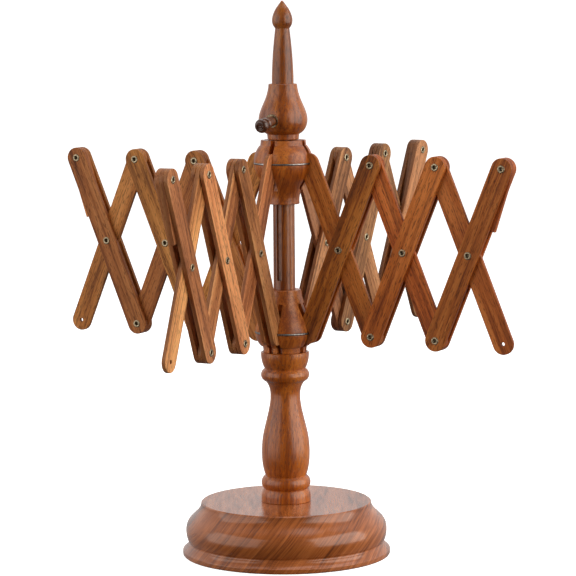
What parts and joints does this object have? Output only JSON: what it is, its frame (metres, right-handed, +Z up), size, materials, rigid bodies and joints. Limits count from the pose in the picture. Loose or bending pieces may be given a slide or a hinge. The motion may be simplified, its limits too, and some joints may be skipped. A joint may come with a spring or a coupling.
{
  "type": "yarn swift",
  "caption": "Tabletop wooden yarn swift: turned base, column and pointed shaft carrying a revolving reel of folding scissor arms that opens like an umbrella, held by a collar and thumbscrew.",
  "frame": {"origin": "centre of the underside of the base", "axes": "+Z up the shaft, +X along the right arm, -Y towards the front arm, the shaft's groove and the thumbscrew"},
  "size_m": [0.3598, 0.3579, 0.4043],
  "materials": {
    "turned_wood": "satin lacquer",
    "base_wood": "satin lacquer",
    "knob_wood": "satin lacquer",
    "slat_honey": "satin",
    "slat_red": "satin",
    "slat_tan": "satin",
    "slat_brown": "satin",
    "brass": "satin, aged",
    "steel_wire": "bright drawn wire",
    "screw_steel": "plain"
  },
  "bodies": {
    "stand": {"base_disc": "base_wood", "base_screw": "screw_steel", "column": "turned_wood", "shaft": "turned_wood"},
    "lower_hub": {"lower_hub": "turned_wood", "lower_hub_ring": "steel_wire"},
    "upper_hub": {"upper_hub": "turned_wood", "upper_hub_ring": "steel_wire"},
    "lock_collar": {"lock_collar": "turned_wood", "lock_insert": "brass"},
    "lock_screw": {"lock_screw": "knob_wood"},
    "right_outer_1": {"right_outer_slats_1": "slat_red", "right_eyelets_1": "brass"},
    "right_inner_1": {"right_inner_slat_1": "slat_red"},
    "right_outer_2": {"right_outer_slats_2": "slat_red", "right_eyelets_2": "brass"},
    "right_inner_2": {"right_inner_slat_2": "slat_red"},
    "right_outer_3": {"right_outer_slats_3": "slat_red", "right_eyelets_3": "brass", "right_end_spacer": "slat_red"},
    "right_inner_3": {"right_inner_slat_3": "slat_red"},
    "front_outer_1": {"front_outer_slats_1": "slat_honey", "front_eyelets_1": "brass"},
    "front_inner_1": {"front_inner_slat_1": "slat_honey"},
    "front_outer_2": {"front_outer_slats_2": "slat_honey", "front_eyelets_2": "brass"},
    "front_inner_2": {"front_inner_slat_2": "slat_honey"},
    "front_outer_3": {"front_outer_slats_3": "slat_honey", "front_eyelets_3": "brass", "front_end_spacer": "slat_honey"},
    "front_inner_3": {"front_inner_slat_3": "slat_honey"},
    "rear_outer_1": {"rear_outer_slats_1": "slat_tan", "rear_eyelets_1": "brass"},
    "rear_inner_1": {"rear_inner_slat_1": "slat_tan"},
    "rear_outer_2": {"rear_outer_slats_2": "slat_tan", "rear_eyelets_2": "brass"},
    "rear_inner_2": {"rear_inner_slat_2": "slat_tan"},
    "rear_outer_3": {"rear_outer_slats_3": "slat_tan", "rear_eyelets_3": "brass", "rear_end_spacer": "slat_tan"},
    "rear_inner_3": {"rear_inner_slat_3": "slat_tan"},
    "left_outer_1": {"left_outer_slats_1": "slat_brown", "left_eyelets_1": "brass"},
    "left_inner_1": {"left_inner_slat_1": "slat_brown"},
    "left_outer_2": {"left_outer_slats_2": "slat_brown", "left_eyelets_2": "brass"},
    "left_inner_2": {"left_inner_slat_2": "slat_brown"},
    "left_outer_3": {"left_outer_slats_3": "slat_brown", "left_eyelets_3": "brass", "left_end_spacer": "slat_brown"},
    "left_inner_3": {"left_inner_slat_3": "slat_brown"}
  },
  "joints": [
    {"name": "reel_spin", "type": "hinge", "parent": "stand", "child": "lower_hub", "pos_m": [0, 0, 0.1642], "axis": [0, 0, 1], "continuous": true},
    {"name": "collar_slide", "type": "slide", "parent": "stand", "child": "lock_collar", "axis": [0, 0, 1], "range_m": [0, 0.018]},
    {"name": "lock_screw_turn", "type": "hinge", "parent": "lock_collar", "child": "lock_screw", "pos_m": [0, -0.0177, 0.3186], "axis": [0, -0.9848, -0.1736], "range_deg": [0, 720]},
    {"name": "reel_open", "type": "hinge", "parent": "lower_hub", "child": "right_outer_1", "pos_m": [0.0208, 0, 0.1642], "axis": [0, 1, 0], "range_deg": [0, 40]},
    {"name": "right_inner_1_cross", "type": "hinge", "parent": "right_outer_1", "child": "right_inner_1", "pos_m": [0.04603, 0, 0.22573], "axis": [0, 1, 0], "range_deg": [-80, 0]},
    {"name": "right_outer_2_swing", "type": "hinge", "parent": "right_inner_1", "child": "right_outer_2", "pos_m": [0.07127, 0, 0.1642], "axis": [0, 1, 0], "range_deg": [0, 80]},
    {"name": "right_inner_2_cross", "type": "hinge", "parent": "right_outer_2", "child": "right_inner_2", "pos_m": [0.0965, 0, 0.22573], "axis": [0, 1, 0], "range_deg": [-80, 0]},
    {"name": "right_outer_3_swing", "type": "hinge", "parent": "right_inner_2", "child": "right_outer_3", "pos_m": [0.12173, 0, 0.1642], "axis": [0, 1, 0], "range_deg": [0, 80]},
    {"name": "right_inner_3_cross", "type": "hinge", "parent": "right_outer_3", "child": "right_inner_3", "pos_m": [0.14697, 0, 0.22573], "axis": [0, 1, 0], "range_deg": [-80, 0]},
    {"name": "upper_hub_ride", "type": "hinge", "parent": "right_inner_1", "child": "upper_hub", "pos_m": [0.0208, 0, 0.28725], "axis": [0, 1, 0], "range_deg": [0, 40]},
    {"name": "front_outer_1_swing", "type": "hinge", "parent": "lower_hub", "child": "front_outer_1", "pos_m": [0, -0.0208, 0.1642], "axis": [1, 0, 0], "range_deg": [0, 40]},
    {"name": "front_inner_1_cross", "type": "hinge", "parent": "front_outer_1", "child": "front_inner_1", "pos_m": [0, -0.04603, 0.22573], "axis": [1, 0, 0], "range_deg": [-80, 0]},
    {"name": "front_outer_2_swing", "type": "hinge", "parent": "front_inner_1", "child": "front_outer_2", "pos_m": [0, -0.07127, 0.1642], "axis": [1, 0, 0], "range_deg": [0, 80]},
    {"name": "front_inner_2_cross", "type": "hinge", "parent": "front_outer_2", "child": "front_inner_2", "pos_m": [0, -0.0965, 0.22573], "axis": [1, 0, 0], "range_deg": [-80, 0]},
    {"name": "front_outer_3_swing", "type": "hinge", "parent": "front_inner_2", "child": "front_outer_3", "pos_m": [0, -0.12173, 0.1642], "axis": [1, 0, 0], "range_deg": [0, 80]},
    {"name": "front_inner_3_cross", "type": "hinge", "parent": "front_outer_3", "child": "front_inner_3", "pos_m": [0, -0.14697, 0.22573], "axis": [1, 0, 0], "range_deg": [-80, 0]},
    {"name": "rear_outer_1_swing", "type": "hinge", "parent": "lower_hub", "child": "rear_outer_1", "pos_m": [0.00361, 0.02048, 0.1642], "axis": [-0.9848, 0.1736, 0], "range_deg": [0, 40]},
    {"name": "rear_inner_1_cross", "type": "hinge", "parent": "rear_outer_1", "child": "rear_inner_1", "pos_m": [0.00799, 0.04533, 0.22573], "axis": [-0.9848, 0.1736, 0], "range_deg": [-80, 0]},
    {"name": "rear_outer_2_swing", "type": "hinge", "parent": "rear_inner_1", "child": "rear_outer_2", "pos_m": [0.01238, 0.07018, 0.1642], "axis": [-0.9848, 0.1736, 0], "range_deg": [0, 80]},
    {"name": "rear_inner_2_cross", "type": "hinge", "parent": "rear_outer_2", "child": "rear_inner_2", "pos_m": [0.01676, 0.09503, 0.22573], "axis": [-0.9848, 0.1736, 0], "range_deg": [-80, 0]},
    {"name": "rear_outer_3_swing", "type": "hinge", "parent": "rear_inner_2", "child": "rear_outer_3", "pos_m": [0.02114, 0.11989, 0.1642], "axis": [-0.9848, 0.1736, 0], "range_deg": [0, 80]},
    {"name": "rear_inner_3_cross", "type": "hinge", "parent": "rear_outer_3", "child": "rear_inner_3", "pos_m": [0.02552, 0.14474, 0.22573], "axis": [-0.9848, 0.1736, 0], "range_deg": [-80, 0]},
    {"name": "left_outer_1_swing", "type": "hinge", "parent": "lower_hub", "child": "left_outer_1", "pos_m": [-0.0208, 0, 0.1642], "axis": [0, -1, 0], "range_deg": [0, 40]},
    {"name": "left_inner_1_cross", "type": "hinge", "parent": "left_outer_1", "child": "left_inner_1", "pos_m": [-0.04603, 0, 0.22573], "axis": [0, -1, 0], "range_deg": [-80, 0]},
    {"name": "left_outer_2_swing", "type": "hinge", "parent": "left_inner_1", "child": "left_outer_2", "pos_m": [-0.07127, 0, 0.1642], "axis": [0, -1, 0], "range_deg": [0, 80]},
    {"name": "left_inner_2_cross", "type": "hinge", "parent": "left_outer_2", "child": "left_inner_2", "pos_m": [-0.0965, 0, 0.22573], "axis": [0, -1, 0], "range_deg": [-80, 0]},
    {"name": "left_outer_3_swing", "type": "hinge", "parent": "left_inner_2", "child": "left_outer_3", "pos_m": [-0.12173, 0, 0.1642], "axis": [0, -1, 0], "range_deg": [0, 80]},
    {"name": "left_inner_3_cross", "type": "hinge", "parent": "left_outer_3", "child": "left_inner_3", "pos_m": [-0.14697, 0, 0.22573], "axis": [0, -1, 0], "range_deg": [-80, 0]}
  ],
  "couplings": [
    {"joint": "right_inner_1_cross", "follows": "reel_open", "ratio": -2},
    {"joint": "right_outer_2_swing", "follows": "reel_open", "ratio": 2},
    {"joint": "right_inner_2_cross", "follows": "reel_open", "ratio": -2},
    {"joint": "right_outer_3_swing", "follows": "reel_open", "ratio": 2},
    {"joint": "right_inner_3_cross", "follows": "reel_open", "ratio": -2},
    {"joint": "upper_hub_ride", "follows": "reel_open", "ratio": 1},
    {"joint": "front_outer_1_swing", "follows": "reel_open", "ratio": 1},
    {"joint": "front_inner_1_cross", "follows": "reel_open", "ratio": -2},
    {"joint": "front_outer_2_swing", "follows": "reel_open", "ratio": 2},
    {"joint": "front_inner_2_cross", "follows": "reel_open", "ratio": -2},
    {"joint": "front_outer_3_swing", "follows": "reel_open", "ratio": 2},
    {"joint": "front_inner_3_cross", "follows": "reel_open", "ratio": -2},
    {"joint": "rear_outer_1_swing", "follows": "reel_open", "ratio": 1},
    {"joint": "rear_inner_1_cross", "follows": "reel_open", "ratio": -2},
    {"joint": "rear_outer_2_swing", "follows": "reel_open", "ratio": 2},
    {"joint": "rear_inner_2_cross", "follows": "reel_open", "ratio": -2},
    {"joint": "rear_outer_3_swing", "follows": "reel_open", "ratio": 2},
    {"joint": "rear_inner_3_cross", "follows": "reel_open", "ratio": -2},
    {"joint": "left_outer_1_swing", "follows": "reel_open", "ratio": 1},
    {"joint": "left_inner_1_cross", "follows": "reel_open", "ratio": -2},
    {"joint": "left_outer_2_swing", "follows": "reel_open", "ratio": 2},
    {"joint": "left_inner_2_cross", "follows": "reel_open", "ratio": -2},
    {"joint": "left_outer_3_swing", "follows": "reel_open", "ratio": 2},
    {"joint": "left_inner_3_cross", "follows": "reel_open", "ratio": -2}
  ]
}
